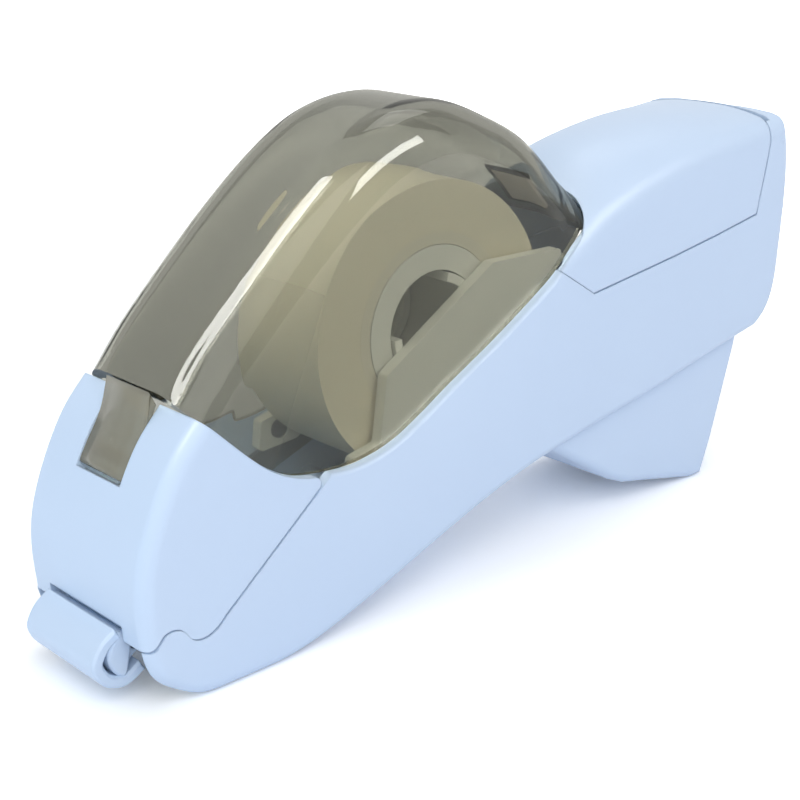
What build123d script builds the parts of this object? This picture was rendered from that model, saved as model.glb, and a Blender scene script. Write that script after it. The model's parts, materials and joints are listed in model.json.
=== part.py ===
# Hand-held tape dispenser with a squeeze lever and a retractable blade.
# Nose toward -X, handle toward +X, +Z up. The side view is drawn on the XZ plane
# and every piece is symmetric about Y = 0 unless its name says left (-Y) or right (+Y).
# The origin is under the middle of the part, at the height of its sole.
import os
from math import acos, atan2, cos, degrees, hypot, sin

from build123d import *

os.makedirs("parts", exist_ok=True)

# Driving sizes of the whole dispenser, in millimetres
length = 142.0
width = 31.0
height = 75.7
shell_wall = 1.8
dome_wall = 1.6
dome_inset = 1.3
dome_half_width = width / 2 - dome_inset
dome_edge_radius = 8.0
seam_gap = 0.25
dome_gap = 0.4
overrun = 3.0

# The roll of tape and what it turns on
tape_side_room = 6.0
tape_width = width - 2 * tape_side_room
tape_film = 0.3
core_bore_radius = 12.7
core_wall = 1.8
core_outer_radius = core_bore_radius + core_wall
roll_radius_share = 0.2946
roll_radius = roll_radius_share * height
hub_wall = 3.8
hub_play = 0.1
hub_bore_radius = core_bore_radius - hub_play - hub_wall
spindle_play = 0.3
spindle_wall = 1.4

# Running and seating clearances
pin_play = 0.05
side_play = 0.4
layer_gap = 0.25


def spot(share):
    """Side-view place of a share pair: x counts from the lip, z from the table."""
    return ((share[0] - 0.5) * length, share[1] * height)


def spots(shares):
    return [spot(share) for share in shares]


def side_plane(y):
    """The side-view plane moved to y; a negative extrusion from it goes toward +Y."""
    return Plane.XZ.offset(-y)


def outer_edges(part, curve, side):
    """The edges of a slab's outer face (at y = side) that follow one curve of its outline."""
    found = []
    for edge in part.edges():
        middle = edge.position_at(0.5)
        if abs(middle.Y - side) < seam_gap:
            if curve.distance_to(Vector(middle.X, middle.Z, 0)) < seam_gap / 5:
                found.append(edge)
    return found


# Side-view outlines, as shares of the length and the height

# The nose cover's joint with the body: a long straight run, then a hollow round the knuckle
seam_shares = [(0.264, 0.349), (0.125, 0.147)]
knuckle_shares = [(0.125, 0.147), (0.111, 0.127), (0.096, 0.121), (0.084, 0.131),
                  (0.077, 0.149), (0.065, 0.159), (0.054, 0.153), (0.046, 0.135), (0.034, 0.130)]
# The rounded front of the body, the flat sole and the arched underside
chin_shares = [(0.034, 0.130), (0.044, 0.073), (0.075, 0.023), (0.122, 0.0)]
sole_shares = [(0.122, 0.0), (0.178, 0.0)]
belly_shares = [(0.178, 0.0), (0.263, 0.027), (0.432, 0.135), (0.558, 0.204),
                (0.749, 0.266), (0.946, 0.335)]
# The rear end, up to its top rim
heel_shares = [(0.946, 0.335), (0.975, 0.385), (0.991, 0.504), (1.0, 0.649),
               (0.999, 0.755), (0.989, 0.816), (0.966, 0.838)]
# The joint with the rear cover, from the top rim forward to the dome
rim_shares = [(0.966, 0.838), (0.962, 0.795), (0.953, 0.722), (0.936, 0.609)]
shelf_shares = [(0.936, 0.609), (0.860, 0.587), (0.783, 0.568), (0.647, 0.540)]
step_shares = [(0.647, 0.540), (0.596, 0.606)]
# The edge that the dome closes on, and its run over the nose cover
gunwale_shares = [(0.596, 0.606), (0.563, 0.568), (0.503, 0.505), (0.432, 0.438),
                  (0.390, 0.396), (0.350, 0.362), (0.307, 0.345), (0.264, 0.349)]
front_gunwale_shares = [(0.264, 0.349), (0.226, 0.361), (0.204, 0.379), (0.181, 0.409),
                        (0.159, 0.447), (0.136, 0.491), (0.115, 0.530)]
# The front of the nose cover, from the dome down to the lip
brow_shares = [(0.115, 0.530), (0.090, 0.482), (0.070, 0.427), (0.051, 0.357),
               (0.038, 0.290), (0.0325, 0.221), (0.034, 0.130)]
# The dome's crest, front to rear
crest_shares = [(0.106, 0.560), (0.142, 0.637), (0.195, 0.730), (0.251, 0.822),
                (0.307, 0.902), (0.355, 0.955), (0.397, 0.981), (0.439, 0.989),
                (0.480, 0.979), (0.526, 0.943), (0.583, 0.880), (0.640, 0.767), (0.680, 0.673)]
# The crown of the rear cover at stations along its length: middle band and shoulders
crown_shares = [(0.587, 0.660, 0.620), (0.629, 0.722, 0.655), (0.660, 0.768, 0.683),
                (0.700, 0.806, 0.710), (0.742, 0.826, 0.735), (0.812, 0.841, 0.768),
                (0.882, 0.844, 0.790), (1.002, 0.833, 0.822)]
cheek_shares = [(0.342, 0.356), (0.355, 0.491), (0.508, 0.657), (0.620, 0.647),
                (0.598, 0.611), (0.608, 0.530), (0.551, 0.471),
                (0.481, 0.418), (0.396, 0.352), (0.354, 0.286), (0.301, 0.279),
                (0.306, 0.345)]
lever_shares = [(0.575, 0.286), (0.915, 0.380), (0.925, 0.359), (0.913, 0.227),
                (0.885, 0.081), (0.866, 0.0), (0.846, 0.0), (0.764, 0.038),
                (0.722, 0.057), (0.700, 0.076), (0.594, 0.209), (0.572, 0.236)]
lip_shares = [(0.028, 0.157), (0.011, 0.136), (0.0, 0.103), (0.003, 0.074), (0.013, 0.050),
              (0.028, 0.038), (0.042, 0.040), (0.058, 0.056)]
tongue_shares = [(0.108, 0.558), (0.0935, 0.490), (0.0735, 0.434), (0.0675, 0.416),
                 (0.078, 0.411), (0.083, 0.425), (0.103, 0.482), (0.122, 0.549)]

# Places of the axes, as shares of the length and the height
hub_share = (0.439, 0.544)
dome_hinge_share = (0.083, 0.428)
lever_pivot_share = (0.562, 0.260)
crank_share = (0.539, 0.382)
cam_share = (0.143, 0.253)
link_bend_share = (0.284, 0.220)
roller_share = (0.125, 0.108)
foot_pivot_share = (0.060, 0.187)
boss_shares = [(0.185, 0.071), (0.382, 0.162), (0.650, 0.451), (0.955, 0.517)]
pad_shares = [(0.583, 0.548), (0.330, 0.319)]

hub_x, hub_z = spot(hub_share)
half_width = width / 2
inner_half = half_width - shell_wall

# The closed outline of the body's two shells
with BuildLine() as belly_line:
    Spline(*spots(belly_shares), tangents=((1, 0), (1, 0.17)))
with BuildLine() as heel_line:
    Spline(*spots(heel_shares))
with BuildLine() as chin_line:
    Spline(*spots(chin_shares), tangents=((0.2, -1), (1, 0)))
with BuildLine() as gunwale_line:
    Spline(*spots(gunwale_shares))
with BuildLine() as front_gunwale_line:
    Spline(*spots(front_gunwale_shares))
with BuildLine() as knuckle_line:
    Spline(*spots(knuckle_shares))
with BuildLine() as crest_line:
    Spline(*spots(crest_shares))

with BuildSketch() as body_face:
    with BuildLine():
        Polyline(*spots(seam_shares))
        add(knuckle_line.line)
        add(chin_line.line)
        Polyline(*spots(sole_shares))
        add(belly_line.line)
        add(heel_line.line)
        Polyline(*spots(rim_shares))
        Polyline(*spots(shelf_shares))
        Polyline(*spots(step_shares))
        add(gunwale_line.line)
    make_face()


def shifted(points, amount):
    """An open run of side-view points moved square to itself, to its right when above zero."""
    moved = []
    for i, (x, z) in enumerate(points):
        before, after = points[max(i - 1, 0)], points[min(i + 1, len(points) - 1)]
        dx, dz = after[0] - before[0], after[1] - before[1]
        run = hypot(dx, dz)
        moved.append((x + amount * dz / run, z - amount * dx / run))
    return moved


def beyond(inner, end, reach):
    """The place that lies reach past end, on the line from inner to end."""
    dx, dz = end[0] - inner[0], end[1] - inner[1]
    run = hypot(dx, dz)
    return (end[0] + reach * dx / run, end[1] + reach * dz / run)


def link_plate(first, second, radius):
    """Sketch a round-ended bar between two side-view points, in the current sketch."""
    dx, dz = second[0] - first[0], second[1] - first[1]
    middle = ((first[0] + second[0]) / 2, (first[1] + second[1]) / 2)
    with Locations(middle):
        SlotCenterToCenter(hypot(dx, dz), 2 * radius, rotation=degrees(atan2(dz, dx)))


# The crowned form that the rear cover and the top rim share: a level middle band, two
# slopes and rounded shoulders, lofted along the handle
crown_band = 10.0
shoulder_radius = 4.0
crown_foot_share = 0.2

with BuildPart() as crown_form:
    for x_share, crest_share, shoulder_share in crown_shares:
        x = (x_share - 0.5) * length
        with BuildSketch(Plane.YZ.offset(x)) as section:
            Polygon(
                (-half_width, crown_foot_share * height),
                (half_width, crown_foot_share * height),
                (half_width, shoulder_share * height),
                (crown_band / 2, crest_share * height),
                (-crown_band / 2, crest_share * height),
                (-half_width, shoulder_share * height),
                align=None,
            )
            fillet(section.vertices().group_by(Axis.Y)[1], shoulder_radius)
    loft(ruled=True)

# What lies outside the crown over the handle, cut from the cover and the shells alike
crown_start = spot(crown_shares[0])[0]
with BuildPart() as crown_cut:
    with BuildSketch(side_plane(-half_width - overrun)):
        Polygon(
            (crown_start, crown_foot_share * height + overrun),
            (crown_start, height),
            (length / 2, height),
            (length / 2, crown_foot_share * height + overrun),
            align=None,
        )
    extrude(amount=-(width + 2 * overrun))
    add(crown_form.part, mode=Mode.SUBTRACT)

# The dome's side-view face, and the same face one wall further in
dome_heel_share = (0.638, 0.668)
with BuildSketch() as dome_face:
    with BuildLine():
        crest = add(crest_line.line)
        Polyline(*spots([crest_shares[-1], dome_heel_share, gunwale_shares[0]]))
        add(gunwale_line.line)
        add(front_gunwale_line.line)
        Polyline(*spots([front_gunwale_shares[-1], crest_shares[0]]))
    make_face()


def dome_solid(half):
    """The hood's outer form, this far to each side, with its crest edges rounded."""
    with BuildPart() as form:
        with BuildSketch(side_plane(-half)) as outline:
            add(dome_face.sketch)
        extrude(outline.sketch, amount=-2 * half)
        crest_edges = outer_edges(form.part, crest_line.line, -half)
        crest_edges += outer_edges(form.part, crest_line.line, half)
        fillet(crest_edges, dome_edge_radius)
    return form.part


# The body: two side walls, a floor along the underside and a rear wall, in one tray
# that is split at the middle plane into the left and the right shell
body_edge_radius = 2.2
gunwale_radius = 0.6
lever_slot_shares = (0.527, 0.935)
mouth_share = 0.099
rim_depth = 4.2
pivot_radius = 1.5
boss_radius = 2.4
pad_radius = 2.0
pad_length = 1.5
screw_radius = 1.0
screw_head_radius = 1.9
screw_head_depth = 1.3
screw_bite = 6.0
pocket_depth = 1.2

pivot = spot(lever_pivot_share)
slot_front = (lever_slot_shares[0] - 0.5) * length
slot_rear = (lever_slot_shares[1] - 0.5) * length
mouth_rear = (mouth_share - 0.5) * length
bosses = spots(boss_shares)
pads = spots(pad_shares)

with BuildPart() as body:
    with BuildSketch(side_plane(-half_width)):
        add(body_face.sketch)
    extrude(amount=-width)
    rounded = []
    for side in (-half_width, half_width):
        for curve in (belly_line, heel_line):
            rounded += outer_edges(body.part, curve.line, side)
    fillet(rounded, body_edge_radius)
    rolled = []
    for side in (-half_width, half_width):
        rolled += outer_edges(body.part, gunwale_line.line, side)
    fillet(rolled, gunwale_radius)
    add(crown_cut.part, mode=Mode.SUBTRACT)
    # The inside, down to the floor and back to the rear wall
    with BuildSketch(side_plane(-inner_half)):
        add(body_face.sketch.moved(Location((-shell_wall, shell_wall, 0))))
        add(body_face.sketch.moved(Location((0, 2 * shell_wall, 0))))
        with Locations((length / 2, height / 2)):
            Rectangle(2 * rim_depth, height, mode=Mode.SUBTRACT)
    extrude(amount=-2 * inner_half, mode=Mode.SUBTRACT)
    # The slot that the lever swings through, and the mouth that the foot stands in
    with BuildSketch(side_plane(-inner_half)):
        with Locations(((slot_front + slot_rear) / 2, 0)):
            Rectangle(slot_rear - slot_front, height)
        with Locations((mouth_rear, 0)):
            Rectangle(length, height / 2, align=(Align.MAX, Align.CENTER))
    extrude(amount=-2 * inner_half, mode=Mode.SUBTRACT)
    # Screw bosses across both shells, pads for the cheeks and pockets for the pins
    for boss in bosses:
        with BuildSketch(side_plane(-inner_half)):
            with Locations(boss):
                Circle(boss_radius)
        extrude(amount=-2 * inner_half)
    for side in (-1, 1):
        for pad in pads:
            with BuildSketch(side_plane(side * inner_half)):
                with Locations(pad):
                    Circle(pad_radius)
            extrude(amount=side * pad_length)

roller_place = spot(roller_share)
roller_pin_radius = 1.2
foot_pivot = spot(foot_pivot_share)
foot_pin_radius = 0.8
foot_pin_seat = 0.2
foot_pin_half = inner_half + foot_pin_seat
thread_play = 0.03
body_play = 0.3


def bored(place, radius, start, reach):
    """Cut a hole across the current part from y = start, reach long toward +Y."""
    with BuildSketch(side_plane(start)) as ring:
        with Locations(place):
            Circle(radius)
    extrude(ring.sketch, amount=-reach, mode=Mode.SUBTRACT)


def bar(place, radius, start, reach):
    """Add a round bar to the current part from y = start, reach long toward +Y."""
    with BuildSketch(side_plane(start)) as ring:
        with Locations(place):
            Circle(radius)
    extrude(ring.sketch, amount=-reach)


def plate(face, start, reach):
    """Add a flat plate of this side-view face from y = start, reach long toward +Y."""
    with BuildSketch(side_plane(start)) as outline:
        add(face)
    extrude(outline.sketch, amount=-reach)


# Left shell, with blind pilot holes in its bosses
with BuildPart() as left_shell:
    add(body.part)
    split(bisect_by=Plane.XZ, keep=Keep.TOP)
    for boss in bosses:
        bored(boss, screw_radius, -screw_bite, screw_bite)
    for pad in pads:
        bored(pad, screw_radius, -inner_half - pocket_depth / 2, pocket_depth / 2 + overrun)
    for place, radius in ((pivot, pivot_radius), (roller_place, roller_pin_radius)):
        bored(place, radius, -inner_half - pocket_depth, pocket_depth + overrun)

# Right shell, whose bosses take the screws and bury their heads
with BuildPart() as right_shell:
    add(body.part)
    split(bisect_by=Plane.XZ, keep=Keep.BOTTOM)
    for boss in bosses:
        bored(boss, screw_radius, 0, half_width)
        bored(boss, screw_head_radius + pin_play, half_width - screw_head_depth, overrun)
    for pad in pads:
        bored(pad, screw_radius, inner_half - overrun, pocket_depth / 2 + overrun)
    for place, radius in ((pivot, pivot_radius), (roller_place, roller_pin_radius)):
        bored(place, radius, inner_half - overrun, pocket_depth + overrun)

with BuildPart() as case_screws:
    for boss in bosses:
        bar(boss, screw_radius - thread_play, -screw_bite, screw_bite + half_width - screw_head_depth)
        bar(boss, screw_head_radius, half_width - screw_head_depth, screw_head_depth / 2)

# Rear cover: the crowned roof of the handle, with its skirt down to the stepped joint
with BuildSketch() as cover_face:
    with BuildLine():
        Polyline(*spots([heel_shares[-1]] + rim_shares[1:]))
        Polyline(*spots(shelf_shares))
        Polyline(*spots(step_shares))
        cover_top = height
        cover_front = spot(step_shares[-1])[0]
        cover_rear = spot(rim_shares[0])[0]
        Polyline(spot(step_shares[-1]), (cover_front, cover_top), (cover_rear, cover_top),
                 spot(heel_shares[-1]))
    make_face()
    add(body_face.sketch.moved(Location((-seam_gap, seam_gap, 0))), mode=Mode.SUBTRACT)

with BuildPart() as cover_hollow:
    for x_share, crest_share, shoulder_share in crown_shares:
        with BuildSketch(Plane.YZ.offset((x_share - 0.5) * length)):
            Polygon(
                (-inner_half, 0),
                (inner_half, 0),
                (inner_half, shoulder_share * height - shell_wall),
                (crown_band / 2, crest_share * height - shell_wall),
                (-crown_band / 2, crest_share * height - shell_wall),
                (-inner_half, shoulder_share * height - shell_wall),
                align=None,
            )
    loft(ruled=True)

dome_room = dome_solid(dome_half_width + dome_gap)
ledge_start = spot(gunwale_shares[0])
ledge_end = spot(dome_heel_share)

with BuildPart() as rear_cover:
    plate(cover_face.sketch, -half_width, width)
    add(crown_cut.part, mode=Mode.SUBTRACT)
    add(cover_hollow.part, mode=Mode.SUBTRACT)
    # The front edge follows the rounded back of the dome, with a ledge on each side of it
    add(dome_room.moved(Location((dome_gap, 0, 0))), mode=Mode.SUBTRACT)
    add(dome_room.moved(Location((dome_gap, 0, -dome_gap))), mode=Mode.SUBTRACT)
    for side in (-1, 1):
        with BuildSketch(side_plane(side * half_width)) as ledge:
            Polygon(ledge_start, ledge_end, (ledge_end[0], height), (ledge_start[0], height),
                    align=None)
        extrude(ledge.sketch, amount=side * dome_inset, mode=Mode.SUBTRACT)

# Nose cover: side walls and a rounded front wall around the cutting gear
nose_edge_radius = 2.5
nose_bevel = 1.0
nose_corner_radius = 1.0
dome_hinge = spot(dome_hinge_share)
dome_pin_radius = 0.6
dome_pin_half = 8.2
barrel_radius = 1.5
lug_radius = 2.2
lug_start = 5.6
tongue_half = 5.3
notch_shares = [(0.0, 0.403), (0.060, 0.403), (0.072, 0.388), (0.100, 0.388),
                (0.150, 0.500), (0.150, 0.6), (0.0, 0.6)]
lip_inset = 0.4
lip_half = tape_width / 2 - lip_inset
front_wall_foot_share = 0.1618
front_wall_foot = front_wall_foot_share * height
rib_depth = 1.2
rib_inner = inner_half - rib_depth
rib_shares = [(0.0577, 0.0704, 0.167, 0.320), (0.0873, 0.0986, 0.167, 0.320)]
nose_rear = spot(seam_shares[0])[0] + overrun
brow = spots(brow_shares)

with BuildSketch() as nose_face:
    with BuildLine():
        Polyline(*spots(seam_shares))
        add(knuckle_line.line)
        Polyline(brow[-1], (-length, brow[-1][1]), (-length, brow[0][1]), brow[0])
        add(front_gunwale_line.line)
    make_face()
    add(body_face.sketch.moved(Location((-seam_gap, seam_gap, 0))), mode=Mode.SUBTRACT)
    nose_corner = Vector(*spot(seam_shares[0]))
    fillet(nose_face.vertices().sort_by_distance(nose_corner)[0], nose_corner_radius)

inner_brow = shifted(brow, -shell_wall)


def brow_slab(points, half, radius, blunt):
    """A slab behind a run of front points, its front edges rounded, or bevelled when blunt."""
    top = beyond(points[1], points[0], nose_edge_radius)
    foot = beyond(points[-2], points[-1], nose_edge_radius)
    with BuildPart() as slab:
        with BuildSketch() as side_face:
            with BuildLine():
                front = Spline(top, *points, foot)
                Polyline(foot, (nose_rear, foot[1]), (nose_rear, top[1]), top)
            make_face()
        with BuildSketch(side_plane(-half)) as side_outline:
            add(side_face.sketch)
        extrude(side_outline.sketch, amount=-2 * half)
        edges = outer_edges(slab.part, front, -half) + outer_edges(slab.part, front, half)
        if blunt:
            chamfer(edges, radius)
        else:
            fillet(edges, radius)
    return slab.part


nose_form = brow_slab(brow, half_width, nose_edge_radius, False)
nose_hollow = brow_slab(inner_brow, inner_half, nose_bevel, True)

with BuildPart() as nose_cover:
    plate(nose_face.sketch, -half_width, width)
    add(nose_hollow, mode=Mode.SUBTRACT)
    # Guide ribs for the blade carrier and lugs for the dome's hinge pin
    for side in (-1, 1):
        for front_share, rear_share, low_share, high_share in rib_shares:
            with BuildSketch(side_plane(side * rib_inner)) as rib:
                with Locations(spot((front_share, low_share))):
                    Rectangle((rear_share - front_share) * length, (high_share - low_share) * height,
                              align=(Align.MIN, Align.MIN))
            extrude(rib.sketch, amount=-side * (half_width - 1 - rib_inner))
        bar(dome_hinge, lug_radius, side * lug_start - (overrun if side < 0 else 0), overrun)
    add(nose_form, mode=Mode.INTERSECT)
    # The notch for the dome's tongue and the opening over the lip
    with BuildSketch() as notch:
        Polygon(*spots(notch_shares), align=None)
    with BuildSketch(side_plane(-lug_start)) as notch_outline:
        add(notch.sketch)
    extrude(notch_outline.sketch, amount=-2 * lug_start, mode=Mode.SUBTRACT)
    with BuildSketch(side_plane(-lip_half - side_play)) as lip_gap:
        with Locations((-length / 2, front_wall_foot)):
            Rectangle(length / 4, height, align=(Align.CENTER, Align.MAX))
    extrude(lip_gap.sketch, amount=-2 * (lip_half + side_play), mode=Mode.SUBTRACT)
    bored(dome_hinge, dome_pin_radius, -dome_pin_half - pin_play, 2 * (dome_pin_half + pin_play))
    bored(foot_pivot, foot_pin_radius, -foot_pin_half - pin_play, 2 * (foot_pin_half + pin_play))

with BuildPart() as foot_pivot_pin:
    bar(foot_pivot, foot_pin_radius - thread_play, -foot_pin_half, 2 * foot_pin_half)

with BuildPart() as dome_hinge_pin:
    bar(dome_hinge, dome_pin_radius - thread_play, -dome_pin_half, 2 * dome_pin_half)

# Dome: the clear hood over the roll, hinged on a tongue at its front, latched at its rear
tab_shares = [(0.6235, 0.805), (0.659, 0.721)]
tab_half = 4.5
tab_slot = 0.7
rib_radius = 0.6
grip_half = 3.3
grip_positions = (0.879, 0.889, 0.899, 0.909)
dome_bevel = 3.75
dome_inside = shifted(spots(crest_shares), dome_wall)
rear_low = beyond(dome_inside[-2], dome_inside[-1], 2 * dome_edge_radius)
front_low = beyond(dome_inside[1], dome_inside[0], 2 * dome_edge_radius)
tab_front, tab_rear = spots(tab_shares)
tab_run = hypot(tab_rear[0] - tab_front[0], tab_rear[1] - tab_front[1])
tab_way = ((tab_rear[0] - tab_front[0]) / tab_run, (tab_rear[1] - tab_front[1]) / tab_run)

with BuildPart() as dome_hollow:
    with BuildSketch() as dome_inner_face:
        with BuildLine():
            inner_crest = Spline(*dome_inside)
            Polyline(dome_inside[-1], rear_low, (rear_low[0], 0), (front_low[0], 0), front_low,
                     dome_inside[0])
        make_face()
    with BuildSketch(side_plane(dome_wall - dome_half_width)):
        add(dome_inner_face.sketch)
    extrude(amount=-2 * (dome_half_width - dome_wall))
    edges = outer_edges(dome_hollow.part, inner_crest, dome_wall - dome_half_width)
    edges += outer_edges(dome_hollow.part, inner_crest, dome_half_width - dome_wall)
    chamfer(edges, dome_bevel)

with BuildPart() as dome_cover:
    add(dome_solid(dome_half_width))
    add(dome_hollow.part, mode=Mode.SUBTRACT)
    with BuildSketch(side_plane(-half_width)):
        add(body_face.sketch.moved(Location((0, dome_gap, 0))))
        add(nose_face.sketch.moved(Location((0, dome_gap, 0))))
    extrude(amount=-width, mode=Mode.SUBTRACT)
    # The tongue down to the hinge barrel
    with BuildSketch() as tongue_face:
        Polygon(*spots(tongue_shares), align=None)
    plate(tongue_face.sketch, -tongue_half, 2 * tongue_half)
    bar(dome_hinge, barrel_radius, -tongue_half, 2 * tongue_half)
    bored(dome_hinge, dome_pin_radius + body_play, -tongue_half, 2 * tongue_half)
    # The latch tab: a U-shaped slot on the rear slope, with grip ribs inside it
    with BuildSketch(Plane(origin=(tab_front[0], 0, tab_front[1]),
                           x_dir=(tab_way[0], 0, tab_way[1]),
                           z_dir=(-tab_way[1], 0, tab_way[0]))) as tab:
        Rectangle(tab_run, 2 * (tab_half + tab_slot), align=(Align.MIN, Align.CENTER))
        Rectangle(tab_run - tab_slot, 2 * tab_half, align=(Align.MIN, Align.CENTER),
                  mode=Mode.SUBTRACT)
    extrude(tab.sketch, amount=overrun, both=True, mode=Mode.SUBTRACT)
    crest_curve = crest_line.edges()[0]
    for position in grip_positions:
        grip = crest_curve.position_at(position)
        bar((grip.X, grip.Y), rib_radius, -grip_half, 2 * grip_half)

# Cheeks: two fixed plates that carry the hub on the open rings of their spindles
cheek_thickness = 2.0
cheek_corner_radius = 0.8
cheek_inner = inner_half - pad_length - cheek_thickness
spindle_reach = 4.7
spindle_inner = cheek_inner - spindle_reach
spindle_radius = hub_bore_radius - spindle_play
spindle_gap_shares = ((0.30, 1.0), (-0.35, 1.0), (-1.0, 1.0), (-1.0, 0.0))
hub_place = (hub_x, hub_z)
cheek_head_radius = 1.6
cheek_head_depth = 0.8

with BuildSketch() as cheek_face:
    Polygon(*spots(cheek_shares), align=None)
    fillet(cheek_face.vertices(), cheek_corner_radius)

with BuildSketch() as spindle_face:
    with Locations(hub_place):
        Circle(spindle_radius)
        Circle(spindle_radius - spindle_wall, mode=Mode.SUBTRACT)
        Polygon(*[(a * roll_radius, b * roll_radius) for a, b in spindle_gap_shares], (0, 0),
                align=None, mode=Mode.SUBTRACT)


def cheek(side):
    """A cheek plate on one side, with its spindle standing inward and two screw holes."""
    with BuildPart() as one:
        with BuildSketch(side_plane(side * cheek_inner)) as outline:
            add(cheek_face.sketch)
        extrude(outline.sketch, amount=-side * cheek_thickness)
        with BuildSketch(side_plane(side * spindle_inner)) as ring:
            add(spindle_face.sketch)
        extrude(ring.sketch, amount=-side * (cheek_inner - spindle_inner))
        for pad in pads:
            with BuildSketch(side_plane(side * cheek_inner)) as hole:
                with Locations(pad):
                    Circle(screw_radius)
            extrude(hole.sketch, amount=-side * cheek_thickness, mode=Mode.SUBTRACT)
            with BuildSketch(side_plane(side * cheek_inner)) as seat:
                with Locations(pad):
                    Circle(cheek_head_radius + pin_play)
            extrude(seat.sketch, amount=-side * cheek_head_depth, mode=Mode.SUBTRACT)
    return one.part


with BuildPart() as left_cheek:
    add(cheek(-1))

with BuildPart() as right_cheek:
    add(cheek(1))

with BuildPart() as cheek_screws:
    for side in (-1, 1):
        for pad in pads:
            shank_start = cheek_inner if side > 0 else -(inner_half + thread_play)
            head_start = cheek_inner if side > 0 else -(cheek_inner + cheek_head_depth)
            bar(pad, screw_radius - thread_play, shank_start, inner_half + thread_play - cheek_inner)
            bar(pad, cheek_head_radius, head_start, cheek_head_depth)

# The roll of tape: a hub that turns on the spindles, a paper core and the wound tape
tape_half = tape_width / 2
hub_half = tape_half + hub_play

with BuildPart() as tape_hub:
    bar(hub_place, core_bore_radius - hub_play, -hub_half, 2 * hub_half)
    bored(hub_place, hub_bore_radius, -hub_half, 2 * hub_half)

with BuildPart() as tape_core:
    bar(hub_place, core_outer_radius, -tape_half, tape_width)
    bored(hub_place, core_bore_radius, -tape_half, tape_width)

with BuildPart() as tape_roll:
    bar(hub_place, roll_radius, -tape_half, tape_width)
    bored(hub_place, core_outer_radius, -tape_half, tape_width)

# The guide roller behind the blade, on its pin across the shells
roller_radius = 3.6
roller_overhang = 0.5
roller_half = tape_half + roller_overhang
pin_end_room = 0.1
roller_pin_half = inner_half + pocket_depth - pin_end_room

with BuildPart() as guide_roller:
    bar(roller_place, roller_radius, -roller_half, 2 * roller_half)
    bored(roller_place, roller_pin_radius + body_play, -roller_half, 2 * roller_half)

with BuildPart() as roller_pin:
    bar(roller_place, roller_pin_radius - thread_play, -roller_pin_half, 2 * roller_pin_half)

# The tape's free end: off the roll, down behind the roller, under it and on to the blade
film_lift = 0.25
tail_reach = 4.35
tail_end = roller_place[0] - tail_reach
roll_reach = roll_radius + film_lift
roller_reach = roller_radius + film_lift
to_roller = (roller_place[0] - hub_x, roller_place[1] - hub_z)
tail_angle = atan2(to_roller[1], to_roller[0])
tail_angle -= acos((roll_reach + roller_reach) / hypot(*to_roller))
wrap_start = degrees(tail_angle) + 180
wrap_sweep = 270 - wrap_start


def off_roll(radius):
    """Where the free end leaves a circle of this radius about the hub."""
    return (hub_x + radius * cos(tail_angle), hub_z + radius * sin(tail_angle))


def on_roller(radius):
    """Where the free end comes onto a circle of this radius about the roller."""
    return (roller_place[0] - radius * cos(tail_angle), roller_place[1] - radius * sin(tail_angle))


with BuildPart() as tape_tail:
    with BuildSketch() as tail_face:
        with BuildLine():
            near = roller_reach - tape_film / 2
            far = roller_reach + tape_film / 2
            Line(off_roll(roll_reach + tape_film / 2), on_roller(near))
            CenterArc(roller_place, near, wrap_start, wrap_sweep)
            Polyline((roller_place[0], roller_place[1] - near), (tail_end, roller_place[1] - near),
                     (tail_end, roller_place[1] - far), (roller_place[0], roller_place[1] - far))
            CenterArc(roller_place, far, wrap_start, wrap_sweep)
            Polyline(on_roller(far), off_roll(roll_reach - tape_film / 2),
                     off_roll(roll_reach + tape_film / 2))
        make_face()
    plate(tail_face.sketch, -tape_half, tape_width)

# Squeeze lever: a hollow grip with a pivot barrel in front, parted on its right by the arm
lever_half = inner_half - side_play
lever_wall = 2.0
lever_edge_radius = 1.8
lever_lift = 8.0
pivot_barrel_radius = 3.4
spring_half = 3.5
spring_bay_half = 4.0
spring_bay_radius = 4.0
link_thickness = 1.0
arm_thickness = 1.8
slot_inner = inner_half - layer_gap - link_thickness
arm_outer = slot_inner - layer_gap
arm_inner = arm_outer - arm_thickness
arm_radius = 2.5
crank = spot(crank_share)
crank_pin_radius = 1.3
crank_pin_end = slot_inner + link_thickness - pin_play

with BuildSketch() as lever_face:
    Polygon(*spots(lever_shares), align=None)

with BuildPart() as squeeze_lever:
    plate(lever_face.sketch, -lever_half, 2 * lever_half)
    lever_edges = []
    for edge in squeeze_lever.edges():
        middle = edge.position_at(0.5)
        if abs(abs(middle.Y) - lever_half) < seam_gap and middle.Z < pivot[1] - pivot_barrel_radius:
            lever_edges.append(edge)
    fillet(lever_edges, lever_edge_radius)
    bar(pivot, pivot_barrel_radius, -lever_half, 2 * lever_half)
    bored(pivot, pivot_barrel_radius, arm_inner, arm_thickness)
    with BuildSketch() as lever_inner_face:
        add(lever_face.sketch)
        offset(amount=-lever_wall)
    with BuildSketch() as lever_open_face:
        add(lever_inner_face.sketch)
        add(lever_inner_face.sketch.moved(Location((0, lever_lift, 0))))
    with BuildSketch(side_plane(lever_wall - lever_half)) as lever_inside:
        add(lever_open_face.sketch)
    extrude(lever_inside.sketch, amount=-2 * (lever_half - lever_wall), mode=Mode.SUBTRACT)
    bored(pivot, pivot_radius + body_play, -lever_half, 2 * lever_half)
    bored(pivot, spring_bay_radius, -spring_bay_half, 2 * spring_bay_half)

# Crank arm: a steel plate let into the lever's barrel, which carries the crank pin
with BuildPart() as crank_arm:
    with BuildSketch(side_plane(arm_inner)) as arm:
        link_plate(pivot, crank, arm_radius)
    extrude(arm.sketch, amount=arm_inner - arm_outer)
    bored(pivot, pivot_radius + body_play, arm_inner, arm_thickness)
    bored(crank, crank_pin_radius, arm_inner, arm_thickness)

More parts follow.
